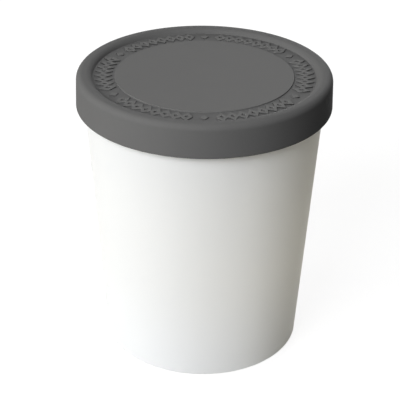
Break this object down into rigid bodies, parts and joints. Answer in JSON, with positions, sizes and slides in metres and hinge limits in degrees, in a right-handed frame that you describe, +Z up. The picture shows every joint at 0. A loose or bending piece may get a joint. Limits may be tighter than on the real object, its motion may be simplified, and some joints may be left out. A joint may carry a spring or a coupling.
{
  "type": "round food storage tub with lid",
  "caption": "Tapered round white plastic tub for homemade ice cream, shut with a dark grey flexible lid that caps the rim and has a sunken top with a raised ring of lozenges.",
  "frame": {"origin": "centre of the foot, on the plane the tub stands on", "axes": "+Z up along the tub's axis, from the foot to the lid; +X and +Y across, with a diamond stud of the lid's ring on the +Y and -Y sides"},
  "size_m": [0.121, 0.121, 0.14],
  "materials": {
    "tub_plastic": "smooth white moulded plastic, satin, faintly milky",
    "lid_silicone": "matte dark grey silicone, softly moulded"
  },
  "bodies": {
    "root": {"tub": "tub_plastic", "lid": "lid_silicone"}
  },
  "joints": []
}
